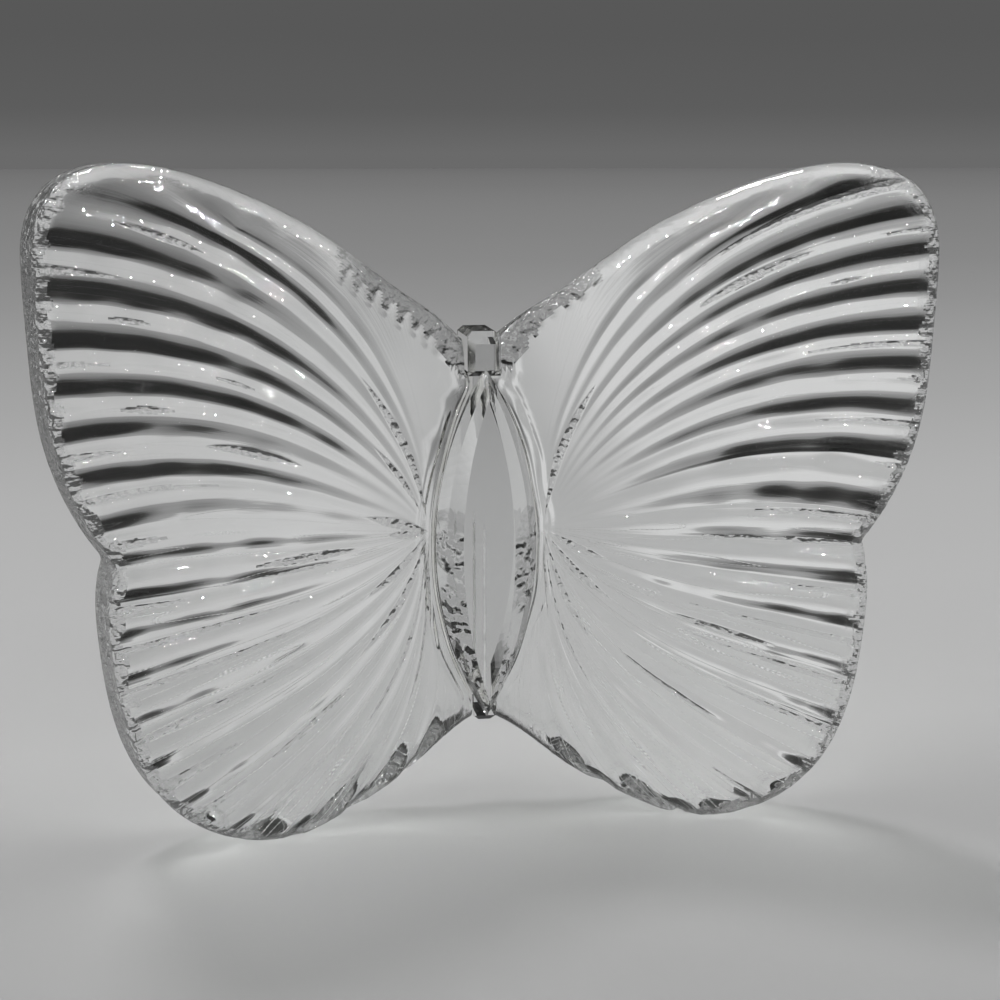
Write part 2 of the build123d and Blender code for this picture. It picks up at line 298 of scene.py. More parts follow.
def spline(shares, start, end, count):
    """Smooth curve through points given as shares, leaving and arriving in set directions."""
    p = np.array(shares, float) * (REACH, HEIGHT)
    h = np.hypot(*np.diff(p, axis=0).T)
    n = len(p)
    a, b = np.eye(n), np.zeros((n, 2))
    b[0], b[-1] = unit(start), unit(end)
    for i in range(1, n - 1):
        a[i, i - 1 : i + 2] = h[i], 2 * (h[i - 1] + h[i]), h[i - 1]
        b[i] = 3 * (h[i] * (p[i] - p[i - 1]) / h[i - 1] + h[i - 1] * (p[i + 1] - p[i]) / h[i])
    m = np.linalg.solve(a, b)
    rows = []
    for i in range(n - 1):
        t = np.linspace(0, 1, count // (n - 1), endpoint=False)[:, None]
        rows.append(
            (2 * t**3 - 3 * t**2 + 1) * p[i] + (t**3 - 2 * t**2 + t) * h[i] * m[i]
            + (3 * t**2 - 2 * t**3) * p[i + 1] + (t**3 - t**2) * h[i] * m[i + 1]
        )
    return np.vstack(rows + [p[-1:]])


def bezier(points, t):
    a, b, c, d = (np.array(q, float) for q in points)
    t = np.asarray(t, float)[:, None]
    return (1 - t) ** 3 * a + 3 * (1 - t) ** 2 * t * b + 3 * (1 - t) * t**2 * c + t**3 * d


def lengths(line):
    return np.r_[0, np.cumsum(np.hypot(*np.diff(line, axis=0).T))]


def at_length(line, places):
    s = lengths(line)
    return np.c_[np.interp(places, s, line[:, 0]), np.interp(places, s, line[:, 1])]


def trimmed(line, cut, end):
    """A line without its first or last stretch."""
    s = lengths(line)
    keep = s < s[-1] - cut if end else s > cut
    edge = at_length(line, [s[-1] - cut if end else cut])
    return np.vstack([line[keep], edge] if end else [edge, line[keep]])


def wing_outline():
    """From the root of the leading edge round the tip, the notch and the foot to the root."""
    leading = spline(LEADING, (1, 0.6), (1, 0), 260)
    tip = bezier(np.array(TIP) * (REACH, HEIGHT), np.linspace(0, 1, 90))
    outer = spline(OUTER, (0, -1), (-1, -1.3), 180)
    foot = (0.5, -GRIND / HEIGHT)
    hind = spline(HIND + [foot], (0.4, -1), (-1, 0), 260)
    trailing = spline([foot] + TRAILING, (-1, 0), (-1, 0), 200)
    corner = outer[-1]
    cut = NOTCH * math.tan(NOTCH_ANGLE / 2)
    outer, hind = trimmed(outer, cut, True), trimmed(hind, cut, False)
    t = np.linspace(0, 1, 14)[1:-1, None]
    notch = (1 - t) ** 2 * outer[-1] + 2 * t * (1 - t) * corner + t**2 * hind[0]
    line = np.vstack([leading[:-1], tip[:-1], outer, notch, hind[:-1], trailing])
    return at_length(line, np.linspace(0, lengths(line)[-1], 2400))


OUTLINE = wing_outline()


def cheek_x(z):
    """Half the width of the body with its film of cement at each height, in the front view."""
    middle, half = (LOW + HIGH) / 2, (HIGH - LOW) / 2 + FILM
    wide = ALMOND + FILM
    radius = (half**2 + wide**2) / (2 * wide)
    oval = np.sqrt(np.maximum(radius**2 - (z - middle) ** 2, 0)) - (radius - wide)
    square = np.where(z > HEAD_LOW - FILM, HEAD, KEEL) + FILM
    return np.maximum(oval, square)


def rim_place(points, line, step=10):
    """Distance of each point from a line, and how far along the line its nearest place lies."""
    s = lengths(line)
    coarse = line[::step]
    near = np.concatenate([
        ((chunk[:, None] - coarse) ** 2).sum(2).argmin(1) * step
        for chunk in np.array_split(points, max(1, len(points) // 4000))
    ])
    best, place = np.full(len(points), np.inf), np.zeros(len(points))
    for k in range(-step - 2, step + 2):
        i = np.clip(near + k, 0, len(line) - 2)
        a, ab = line[i], line[i + 1] - line[i]
        long = np.maximum((ab**2).sum(1), 1e-12)
        t = np.clip(((points - a) * ab).sum(1) / long, 0, 1)
        gap = np.hypot(*(points - a - t[:, None] * ab).T)
        closer = gap < best
        best[closer] = gap[closer]
        place[closer] = (s[i] + t * np.sqrt(long))[closer]
    return best, place


def points_inside(points, line):
    """Which points lie inside a closed line."""
    a, b = line, np.roll(line, -1, axis=0)
    x, y = points[:, :1], points[:, 1:]
    crosses = (a[:, 1] > y) != (b[:, 1] > y)
    height = np.where(b[:, 1] == a[:, 1], 1, b[:, 1] - a[:, 1])
    at = a[:, 0] + (y - a[:, 1]) * (b[:, 0] - a[:, 0]) / height
    return (crosses & (x < at)).sum(1) % 2 == 1


# ---------------------------------------------------------------- relief of a wing
# how steep each valley is, at these shares of its way from the root to the rim
STEEP_AT = (0.0, 0.2, 0.375, 0.575, 0.76, 0.92, 1.0)
STEEPEST = 0.80
SLIVER_STEEP = 0.85
# what the steepness is multiplied with: fore and hind wing, and by the share of the way out
GAIN = (1.85, 2.25)
INNER_GAIN = ((0.0, 0.25, 0.45, 0.7, 1.0), (2.4, 2.1, 1.5, 1.15, 1.0))
TOOTH_FOOT = 1.6  # width of the toothed band between its teeth
# two drawn lines round the body: distance from it, half width and depth
BODY_LINES = ((0.9, 0.8, 0.55), (2.9, 1.0, 0.45))


def ease(x):
    """From 0 to 1 as x does, with a gentle start and end."""
    return x * x * (3 - 2 * x)


def rise(x, length):
    """From 0 to 1 as x goes from 0 to a length."""
    return np.clip(x / length, 0, 1)


def smooth_low(a, b, k):
    """The lower of two heights, rounded where they cross."""
    h = np.clip(0.5 + 0.5 * (b - a) / k, 0, 1)
    return b * (1 - h) + a * h - k * h * (1 - h)


def ripples(p, size, seed, count=26):
    """Smooth unevenness of about one unit, from waves of many directions."""
    rng = np.random.default_rng(seed)
    total = np.zeros(len(p))
    for _ in range(count):
        way = rng.normal(size=p.shape[1])
        way *= 2 * np.pi / size * rng.uniform(0.6, 1.5) / np.linalg.norm(way)
        total += np.sin(p @ way + rng.uniform(0, 2 * np.pi))
    return total / math.sqrt(count / 2)


def wave_drop(place, part, valleys):
    """Depth of the smooth valleys, from their places at the rim and their steepness."""
    at = np.array([v[0] for v in valleys])
    steep = np.array([(0.0, *v[1:]) for v in valleys])
    top = len(at) - 1
    count = np.interp(place, at, np.arange(len(at)))
    count = np.where(place < at[0], (place - at[0]) / (at[1] - at[0]), count)
    count = np.where(place > at[-1], top + (place - at[-1]) / (at[-1] - at[-2]), count)
    low = np.clip(np.floor(count), 0, top - 1).astype(int)
    pitch = (at[low + 1] - at[low]) * part
    # steepness between two valleys (i0, g) and between two shares of the way out (j, f)
    x = np.interp(part, STEEP_AT, np.arange(len(STEEP_AT)))
    j = np.clip(x.astype(int), 0, len(STEEP_AT) - 2)
    f = x - j
    i = np.clip(count, 0, top)
    i0 = np.clip(i.astype(int), 0, top - 1)
    g = ease(i - i0)
    one = steep[i0, j] * (1 - f) + steep[i0, j + 1] * f
    two = steep[i0 + 1, j] * (1 - f) + steep[i0 + 1, j + 1] * f
    slope = one * (1 - g) + two * g
    slope = slope * np.interp(place, (120, 132), GAIN) * np.interp(part, *INNER_GAIN)
    slope = slope * (1 + 0.9 * rise(part - 0.9, 0.08) * rise(place - 128, 8))
    slope = STEEPEST * np.tanh(slope / STEEPEST)
    depth = slope * pitch / math.pi
    fade = np.where(count == i, 1, np.clip(1 - np.abs(count - i) * 2, 0, 1))
    return depth * 0.5 * (1 + np.cos(2 * np.pi * count)) * fade


def sliver_drop(place, part, slivers):
    """Depth of the narrow grooves that taper away from the rim, and of the small eyes."""
    total = np.zeros(len(place))
    for at, low, high, wide in slivers:
        if high > 0.95:
            grow = rise(part - low, 1 - low) ** 0.8
        else:
            grow = np.sin(np.pi * rise(part - low, high - low)) ** 0.8
        half = 0.5 * wide * grow
        off = np.minimum(np.abs(place - at) * part, half)
        v = half * 0.32 * (1 + np.cos(np.pi * off / np.maximum(half, 1e-6)))
        total = np.maximum(total, SLIVER_STEEP * v)
    return total


def front_face(flat, share, spread, seed, first, valleys, slivers, teeth):
    """Height of the front over the middle plane, and where it is rough or toothed.

    Also gives how far each point is into the toothed band, from 0 to 1.
    """
    d, along = rim_place(flat, OUTLINE)
    start, end, pitch, high, deepest = teeth
    groove = sliver_drop(spread, share, slivers)
    dip = wave_drop(spread, share, valleys) * (1 + 0.10 * ripples(flat, 9.0, seed))
    dip = dip + 0.03 * ripples(flat, 12.0, seed + 1)
    dip = dip + groove * (1 + 0.10 * ripples(flat, 2.5, seed + 2))
    # a toothed band along the leading edge beside the head
    tooth = np.abs((((along - start) / pitch + 0.09 * (d - 2)) % 1) * 2 - 1) ** 1.3
    ends = rise(along - start, 2) * rise(end - along, 2)
    inner_edge = (TOOTH_FOOT + (deepest - TOOTH_FOOT) * tooth) * ends
    raised = rise(inner_edge - d, 0.7)
    dip = dip - high * ease(raised)
    away = flat[:, 0] - cheek_x(flat[:, 1]) / math.cos(SWEEP)
    for at, half, depth in BODY_LINES:
        off = rise(np.abs(away - at * (1 + 0.12 * ripples(flat, 14.0, seed + 8))), half)
        dip = dip + depth * (0.5 + 0.5 * np.cos(np.pi * off)) * rise(d - 2.6, 2)
    # the crown, and the rounded rim with its grain
    below = np.clip(CROWN_REACH - (flat - CROWN_AT) @ CROWN_DOWN, 0, CROWN_REACH + 2)
    top = THICK / 2 - (CROWN_RADIUS - np.sqrt(CROWN_RADIUS**2 - below**2))
    e = np.minimum(d, RIM_FRONT)
    rim = top - RIM_FRONT + np.sqrt(np.maximum(RIM_FRONT**2 - (RIM_FRONT - e) ** 2, 0))
    front = smooth_low(rim, top - dip, 0.5)
    front = np.where(d < 1e-6, np.minimum(top - RIM_FRONT, front), front)
    grain = 0.05 * np.clip(1 - d / 2.4, 0, 1)
    front = front + grain * ripples(np.c_[flat, front], 1.2, seed + 3)
    # the rough band along the rim is widest beside the head and ends on the hind wing
    beside = (along > start) & (along < end)
    from_head = np.hypot(*(flat - HEAD_CORNER).T)
    band = 1.5 + 2.6 * np.clip(1 - from_head / 9.0, 0, 1)
    band = band + 0.35 * ripples(flat, 3.0, seed + 6) + 0.9 * beside
    band = band * rise(first + 136 - spread, 12)
    band = band * np.maximum(rise(spread - first + 3, 3), along < end)
    # the rough band and the teeth take the darker crystal, whose tone is painted shade
    rough = (groove > 0.08) | (d < band) | (raised > 0.9)
    toothed = (raised > 0.6) | ((d < band) & beside)
    return front, rough, toothed, rise(end - along, 6) * rise(d, 0.4)


# ---------------------------------------------------------------- mesh of a wing
# distances from the rim of the last rows, closest together where the front rounds over
ROUND_OVER = RIM_FRONT * (1 - np.cos(np.radians(np.linspace(90, 0, 12))))
RIM_ROWS = np.r_[5.2, 4.6, 4.0, 3.5, 3.0, ROUND_OVER]
FLANK_RIM = np.r_[4.4, 3.9, 3.4, 3.0, ROUND_OVER]
INNER_ROWS = 140
# distances along the rim between the lines of the fan, and between those at a sliver
LINE_PITCH, FINE_PITCH = 0.5, 0.22
# the rows at which the wing's edge leaves the body, above and below
UPPER_CORNER, LOWER_CORNER = 26, 50
WALL_STEPS = 12
FLUTE = 60  # length of a flute in the flow values


def valley_angles(rim):
    """Directions in which a line of the fan leaves the root and meets the rim, in degrees."""
    along = rim - ROOT
    turn = math.degrees(math.atan2(along[1], along[0]))
    swing = 36 if turn > 0 else 28
    fore = ease(min(max((turn + 5) / 13, 0), 1))
    leave = turn + swing * math.sin(math.radians(2 * turn))
    return leave, (0.68 - 0.04 * fore) * turn - 18 * fore


def column(rim):
    """Points down one line of the fan, from the root to the rim, and their shares of the way."""
    reach = 0.38 * np.hypot(*(rim - ROOT))
    a, b = (math.radians(angle) for angle in valley_angles(rim))
    line = bezier(
        (ROOT, ROOT + reach * np.array([math.cos(a), math.sin(a)]),
         rim - reach * np.array([math.cos(b), math.sin(b)]), rim),
        np.linspace(0, 1, 140),
    )
    total = lengths(line)[-1]
    inner = np.linspace(0.02 * total, total - RIM_ROWS[0], INNER_ROWS - 1, endpoint=False)
    places = np.r_[0, inner, total - RIM_ROWS]
    return at_length(line, places), places / total


def border(z_end, rest, last, corner_row, places=()):
    """The edge from beside the root, along the body and out along the rim.

    Also gives how far along it some of the rows end.
    """
    z = np.linspace(ROOT[1], z_end, 240)
    body = np.c_[cheek_x(z) / math.cos(SWEEP), z]
    line = np.vstack([body, rest])
    line[-1] = last
    run = lengths(line)
    corner = run[len(body) - 1]
    knots = [(0, 0), (corner_row, corner)]
    knots += [(row, corner + far) for row, far in places]
    knots += [(INNER_ROWS + k, run[-1] - gap) for k, gap in enumerate(RIM_ROWS)]
    return line, tuple(zip(*knots))


def flank(edge, line, stops):
    """Rungs of the patch between the outermost line of the fan and the edge of the wing."""
    ends = at_length(line, np.interp(np.arange(len(edge)), *stops))
    reach = np.hypot(*(ends - edge).T)
    first = 4.2 * np.linspace(0, 1, 13)[1:]
    a = np.minimum(first, reach[:, None] * 0.30 * first / first[-1])
    b = reach[:, None] - np.minimum(FLANK_RIM, reach[:, None] * 0.5 * FLANK_RIM / FLANK_RIM[0])
    mid = a[:, -1:] + (b[:, :1] - a[:, -1:]) * np.linspace(0, 1, 20)[None, 1:-1]
    offs = np.hstack([a, mid, b]).T
    t = offs / np.maximum(reach, 1e-9)
    return edge * (1 - t[..., None]) + ends * t[..., None], offs


def wing_grid(first, last, slivers):
    """Points of a wing in its plane, in lines along the flutes that are closest at the slivers.

    Also gives each point's share of the way out and its place along the rim.
    """
    places = np.arange(first, last, LINE_PITCH)
    fine = [at + k * FINE_PITCH for at, *_ in slivers for k in range(-5, 6)]
    far = [q for q in places if min(abs(q - at) for at, *_ in slivers) > 1.3]
    columns = np.r_[first, last, far, [q for q in fine if first < q < last]]
    columns = np.unique(np.round(columns, 2))
    columns = columns[np.r_[True, np.diff(columns) > 0.06]]
    fan = [column(at_length(OUTLINE, [at])[0]) for at in columns]
    grid, part = (np.array(each) for each in zip(*fan))
    place = np.repeat(columns[:, None], grid.shape[1], axis=1)

    s = lengths(OUTLINE)
    cos_s = math.cos(SWEEP)
    lead = OUTLINE[: np.argmax(s >= columns[0]) + 1]
    start = np.argmax(lead[:, 0] * cos_s >= HEAD + FILM)
    upper, upper_off = flank(grid[0], *border(
        lead[start, 1], lead[start + 1 :], grid[0][-1], UPPER_CORNER, [(110, 31.0)]))
    trail = OUTLINE[np.argmax(s >= columns[-1]) :]
    stop = np.argmax(trail[:, 0] * cos_s <= KEEL + FILM)
    lower, lower_off = flank(grid[-1], *border(
        trail[stop, 1], trail[:stop][::-1], grid[-1][-1], LOWER_CORNER))
    share = np.concatenate([
        np.tile(part[0], (len(upper), 1)), part, np.tile(part[-1], (len(lower), 1)),
    ])
    wide = np.maximum(share, 0.02)
    spread = np.concatenate([
        first - upper_off[::-1] / wide[: len(upper)], place,
        last + lower_off / wide[-len(lower) :],
    ])
    return np.concatenate([upper[::-1], grid, lower]), share, spread


def placed(side, flat, w):
    """Points in the shared frame, from their place in a wing's plane and height over it.

    Beside the body they move so that the wing's edge stands straight against its cheek.
    """
    u, z = flat.T
    away = u - cheek_x(z) / math.cos(SWEEP)
    u = u + w * math.tan(SWEEP) * np.clip(1 - away / 10, 0, 1) ** 2
    x = u * math.cos(SWEEP) - w * math.sin(SWEEP)
    y = FOLD_Y - u * math.sin(SWEEP) - w * math.cos(SWEEP)
    return np.c_[side * x, y, np.maximum(z, 0)]


def wall_levels(ring, top, seed):
    """Rings round the edge, from the front to the flat back: shift inwards and height."""
    levels = []
    for k in range(1, WALL_STEPS + 1):
        f = k / WALL_STEPS
        w = top * (1 - f) + (BACK + RIM_BACK) * f
        at = np.c_[ring, w]
        grain = 0.05 * ripples(at, 1.3, seed + 4) + 0.03 * ripples(at, 0.7, seed + 5)
        bulge = math.sin(math.pi * f) ** 0.5 if f < 1 else 0
        levels.append(((0.14 + grain) * bulge, w))
    for turn in np.radians((30, 60, 90)):
        w = np.full(len(ring), BACK + RIM_BACK * (1 - math.sin(turn)))
        levels.append((np.full(len(ring), RIM_BACK * (1 - math.cos(turn))), w))
    return levels


def back_face(line):
    """The flat back inside a closed line: its points in the wing's plane and its faces."""
    gx, gz = np.meshgrid(np.arange(4, 66, 3.0), np.arange(3, 97, 3.0))
    inside = np.c_[gx.ravel(), gz.ravel()]
    closed = np.vstack([line, line[:1]])
    inside = inside[points_inside(inside, line) & (rim_place(inside, closed, 1)[0] > 1.5)]
    given = np.vstack([line, inside])
    edges = [(i, (i + 1) % len(line)) for i in range(len(line))]
    found = delaunay_2d_cdt([Vector(q) for q in given], edges, [], 1, 1e-5)
    points = [given[known[0]] if known else tuple(q) for q, known in zip(found[0], found[3])]
    return np.array(points), found[2]


def make_wing(name, side, seed, first, last, valleys, slivers, teeth):
    """One wing as a closed mesh: the front, the wall round the edge and the flat back.

    first and last are the places along the rim where the fan's outermost lines end.
    """
    plan, share, spread = wing_grid(first, last, slivers)
    index = np.arange(share.size).reshape(share.shape)
    flat, share, spread = plan.reshape(-1, 2), share.reshape(-1), spread.reshape(-1)
    front, rough, toothed, inner = front_face(
        flat, share, spread, seed, first, valleys, slivers, teeth)
    points, flow = [placed(side, flat, front)], [np.c_[spread, share * FLUTE, inner]]
    quads = np.stack([index[:-1, :-1], index[1:, :-1], index[1:, 1:], index[:-1, 1:]], -1)
    quads = quads.reshape(-1, 4)
    polys = quads.tolist()
    slots = np.where(rough[quads].sum(1) > 1, IN_RIM, IN_CLEAR)
    slots = np.where(toothed[quads].sum(1) > 1, IN_TEETH, slots).tolist()

    edge = np.r_[index[0, :], index[1:, -1], index[-1, -2:0:-1]]
    ring = flat[edge]
    on_cheek = np.zeros(len(edge), bool)
    on_cheek[: UPPER_CORNER + 1] = True
    on_cheek[len(edge) - LOWER_CORNER :] = True
    way = np.roll(ring, -1, axis=0) - np.roll(ring, 1, axis=0)
    way /= np.maximum(np.hypot(*way.T), 1e-9)[:, None]
    inward = np.c_[way[:, 1], -way[:, 0]]
    inward[on_cheek] = 0
    rings, count = [edge], len(flat)
    for shift, w in wall_levels(ring, front[edge], seed):
        points.append(placed(side, ring + inward * shift[:, None], w))
        flow.append(np.c_[spread[edge], FLUTE + front[edge] - w, w * 0])
        rings.append(count + np.arange(len(edge)))
        count += len(edge)
    both = on_cheek & np.roll(on_cheek, -1)
    for k, (one, two) in enumerate(zip(rings, rings[1:])):
        polys += np.stack([one, np.roll(one, -1), np.roll(two, -1), two], -1).tolist()
        wall = k < WALL_STEPS
        slots += np.where(both & wall, IN_JOINT, IN_RIM if wall else IN_CLEAR).tolist()

    back_points, back_polys = back_face(ring + inward * RIM_BACK)
    points.append(placed(side, back_points, np.full(len(back_points), BACK)))
    flow.append(np.zeros((len(back_points), 3)))
    polys += [[count + i for i in face[::-1]] for face in back_polys]
    slots += [IN_CLEAR] * len(back_polys)
    return finish_mesh(name, np.vstack(points), np.vstack(flow), polys, slots, side)


def finish_mesh(name, points, flow, polys, slots, side):
    """Points that lie together become one, and faces without area go."""
    _, first, same = np.unique(np.round(points, 4), axis=0, return_index=True, return_inverse=True)
    same = same.reshape(-1).tolist()
    kept, kept_slots = [], []
    for poly, slot in zip(polys, slots):
        ids = [same[j] for j in poly]
        ids = [v for k, v in enumerate(ids) if v != ids[k - 1]]
        if len(ids) > 2 and len(set(ids)) == len(ids):
            kept.append(ids if side > 0 else ids[::-1])
            kept_slots.append(slot)
    mesh = bpy.data.meshes.new(name)
    mesh.from_pydata((points[first] * MM).tolist(), [], kept)
    mesh.polygons.foreach_set("material_index", kept_slots)
    mesh.polygons.foreach_set("use_smooth", [True] * len(kept))
    mesh.update()
    mesh.attributes.new("flow", "FLOAT_VECTOR", "POINT").data.foreach_set(
        "vector", flow[first].ravel())
    for each in WING_SLOTS:
        mesh.materials.append(each)
    return add(name, mesh)


def add(name, data):
    """A new object in the scene."""
    made = bpy.data.objects.new(name, data)
    bpy.context.scene.collection.objects.link(made)
    return made


# ---------------------------------------------------------------- the two wings
# valleys: place at the rim, and steepness at each of STEEP_AT but the root, where it is 0
RIGHT_VALLEYS = [
    (67.0, 0.10, 0.16, 0.12, 0.05, 0.05, 0.05), (74.0, 0.05, 0.10, 0.14, 0.20, 0.20, 0.20),
    (80.8, 0.06, 0.14, 0.24, 0.27, 0.27, 0.25), (86.3, 0.06, 0.16, 0.25, 0.35, 0.33, 0.3),
    (91.4, 0.06, 0.15, 0.26, 0.31, 0.30, 0.3), (96.9, 0.07, 0.18, 0.30, 0.37, 0.37, 0.37),
    (103.1, 0.06, 0.14, 0.22, 0.28, 0.33, 0.35), (109.3, 0.06, 0.15, 0.26, 0.36, 0.36, 0.36),
    (116.3, 0.06, 0.15, 0.30, 0.38, 0.50, 0.5), (125.5, 0.06, 0.14, 0.22, 0.28, 0.42, 0.45),
    (130.6, 0.06, 0.14, 0.22, 0.22, 0.26, 0.3), (136.8, 0.06, 0.14, 0.20, 0.26, 0.30, 0.3),
    (144.5, 0.05, 0.12, 0.18, 0.24, 0.26, 0.3), (151.3, 0.05, 0.10, 0.16, 0.22, 0.24, 0.3),
    (159.5, 0.05, 0.10, 0.16, 0.20, 0.24, 0.3), (169.1, 0.05, 0.10, 0.16, 0.18, 0.20, 0.3),
    (178.6, 0.05, 0.10, 0.14, 0.16, 0.18, 0.3), (188.8, 0.05, 0.10, 0.12, 0.14, 0.16, 0.3),
    (202.6, 0.05, 0.08, 0.10, 0.12, 0.14, 0.3),
]
LEFT_VALLEYS = [
    (69.0, 0.05, 0.12, 0.15, 0.10, 0.10, 0.10), (76.5, 0.08, 0.20, 0.45, 0.28, 0.12, 0.10),
    (84.1, 0.05, 0.06, 0.15, 0.24, 0.36, 0.40), (90.6, 0.08, 0.25, 0.55, 0.42, 0.42, 0.42),
    (98.2, 0.08, 0.22, 0.34, 0.48, 0.50, 0.50), (104.4, 0.10, 0.32, 0.50, 0.50, 0.48, 0.48),
    (111.1, 0.05, 0.10, 0.18, 0.20, 0.55, 0.60), (117.7, 0.08, 0.20, 0.50, 0.55, 0.42, 0.40),
    (125.2, 0.05, 0.10, 0.12, 0.14, 0.45, 0.50), (130.2, 0.08, 0.22, 0.28, 0.30, 0.25, 0.25),
    (135.6, 0.06, 0.16, 0.24, 0.26, 0.40, 0.45), (141.6, 0.06, 0.16, 0.24, 0.28, 0.30, 0.30),
    (148.0, 0.06, 0.14, 0.20, 0.22, 0.26, 0.30), (154.9, 0.06, 0.14, 0.20, 0.22, 0.26, 0.30),
    (162.0, 0.06, 0.12, 0.18, 0.20, 0.24, 0.30), (170.5, 0.06, 0.12, 0.16, 0.20, 0.24, 0.30),
    (179.5, 0.05, 0.12, 0.16, 0.18, 0.20, 0.30), (188.8, 0.05, 0.10, 0.14, 0.16, 0.18, 0.30),
    (198.7, 0.05, 0.10, 0.12, 0.14, 0.16, 0.30), (208.9, 0.05, 0.08, 0.10, 0.12, 0.14, 0.30),
]
# slivers: place at the rim, the shares of the way out where they start and end, and width
RIGHT_SLIVERS = [
    (74.6, 0.56, 1.0, 2.6), (82.0, 0.52, 0.78, 1.3), (82.2, 0.88, 1.0, 1.0),
    (88.0, 0.78, 0.86, 0.7), (98.8, 0.68, 1.0, 1.3), (104.2, 0.90, 1.0, 1.0),
    (110.8, 0.68, 1.0, 1.1), (117.5, 0.90, 1.0, 1.4), (126.3, 0.60, 1.0, 1.7),
    (130.5, 0.35, 1.0, 0.9), (138.3, 0.60, 1.0, 1.3), (145.8, 0.40, 1.0, 1.3),
    (149.5, 0.45, 0.76, 1.1), (152.5, 0.40, 1.0, 1.0), (160.5, 0.62, 1.0, 1.4),
    (167.2, 0.37, 0.72, 0.9), (176.0, 0.80, 1.0, 1.6), (190.0, 0.86, 1.0, 2.0),
    (76.5, 0.02, 0.30, 1.5), (141.5, 0.03, 0.24, 1.0), (154.8, 0.03, 0.30, 1.1),
    (172.5, 0.02, 0.34, 1.3), (184.0, 0.05, 0.5, 1.0), (196.5, 0.02, 0.32, 1.2),
]
LEFT_SLIVERS = [
    (78.9, 0.70, 0.88, 1.2), (86.9, 0.84, 1.0, 1.8), (93.1, 0.77, 0.88, 1.0),
    (99.9, 0.84, 1.0, 1.4), (99.7, 0.52, 0.66, 0.6), (106.7, 0.71, 0.86, 1.2),
    (112.4, 0.40, 0.66, 1.4), (113.0, 0.82, 1.0, 1.6), (119.6, 0.55, 1.0, 1.2),
    (126.9, 0.80, 1.0, 2.2), (132.9, 0.25, 0.60, 1.2), (135.4, 0.30, 0.60, 0.6),
    (136.8, 0.76, 1.0, 1.8), (142.6, 0.35, 1.0, 1.3), (148.9, 0.30, 1.0, 1.3),
    (156.4, 0.45, 1.0, 1.3), (164.4, 0.74, 1.0, 2.0), (171.6, 0.45, 0.76, 1.1),
    (171.8, 0.80, 1.0, 1.6), (180.5, 0.78, 1.0, 1.8), (191.4, 0.70, 0.92, 1.2),
    (79.5, 0.03, 0.34, 1.4), (95.0, 0.05, 0.24, 0.9), (122.5, 0.02, 0.22, 1.2),
    (130.0, 0.0, 0.16, 1.2), (151.5, 0.03, 0.28, 1.1), (166.5, 0.02, 0.4, 1.3),
    (184.0, 0.04, 0.6, 1.1), (197.5, 0.02, 0.62, 1.4), (205.0, 0.02, 0.4, 1.2),
]
# toothed band: where it starts and ends along the rim, its pitch, height and depth inwards
RIGHT_TEETH = (3.0, 25.0, 2.6, 0.35, 3.4)
LEFT_TEETH = (2.0, 31.0, 2.75, 0.8, 5.6)

right = make_wing(
    "right_wing_crystal", side=1, seed=11, first=73.0, last=203.5,
    valleys=RIGHT_VALLEYS, slivers=RIGHT_SLIVERS, teeth=RIGHT_TEETH,
)
left = make_wing(
    "left_wing_crystal", side=-1, seed=29, first=75.5, last=209.5,
    valleys=LEFT_VALLEYS, slivers=LEFT_SLIVERS, teeth=LEFT_TEETH,
)
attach(right, "root")
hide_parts("right_wing")
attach(left, "root")
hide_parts("left_wing")


# ---------------------------------------------------------------- body
def make_body():
    """The cut body, its faces divided where the wings' faces meet it."""
    work = bmesh.new()
    work.from_mesh(NODES["body"].data)
    bmesh.ops.remove_doubles(work, verts=work.verts, dist=0.000002)
    for side in (1, -1):
        normal = Vector((-side * math.sin(SWEEP), -math.cos(SWEEP), 0))
        for w in (THICK / 2, -THICK / 2):
            centre = Vector((0, FOLD_Y * MM, 0)) + normal * w * MM
            bmesh.ops.bisect_plane(
                work, geom=work.verts[:] + work.edges[:] + work.faces[:],
                plane_co=centre, plane_no=normal, dist=1e-7,
            )
    for face in work.faces:
        centre = face.calc_center_median() / MM
        x, y, z = abs(centre.x), centre.y - FOLD_Y, centre.z
        w = -x * math.sin(SWEEP) - y * math.cos(SWEEP)
        wall = abs(face.normal.y) < 0.05 and abs(face.normal.x) > 0.3
        in_wing = abs(w) < THICK / 2 and JOINT_HEIGHTS[0] < z < JOINT_HEIGHTS[1]
        chipped = CHIPPED_HEIGHTS[0] < z < CHIPPED_HEIGHTS[1]
        if wall and in_wing and (-8.1 < y < 3.9 or x < 2.6):
            face.material_index = IN_JOINT
        elif chipped and face.normal.y < -0.3 and abs(face.normal.x) > 0.2:
            face.material_index = IN_CHIPS
        face.smooth = False
    mesh = bpy.data.meshes.new("body_crystal")
    work.to_mesh(mesh)
    work.free()
    for each in BODY_SLOTS:
        mesh.materials.append(each)
    return add("body_crystal", mesh)


body = make_body()
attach(body, "root")
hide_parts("body")
for film in ("right_cement", "left_cement"):
    for place in NODES[film].material_slots:
        place.material = CEMENT

# ---------------------------------------------------------------- floor and surroundings
# displayed tones of the floor, by the distance behind the part in metres: a painted falloff of
# light, brightest just behind the part
FLOOR = [(-0.28, 163), (-0.02, 167), (0.0, 170), (0.04, 179), (0.15, 181), (0.27, 177),
         (0.48, 164), (1.0, 145), (1.47, 136), (2.15, 131), (3.68, 125), (5.5, 119),
         (8.1, 115), (12.0, 109)]
FLOOR_FROM, FLOOR_TO, FLOOR_BEND = -0.3, 12.0, 0.4
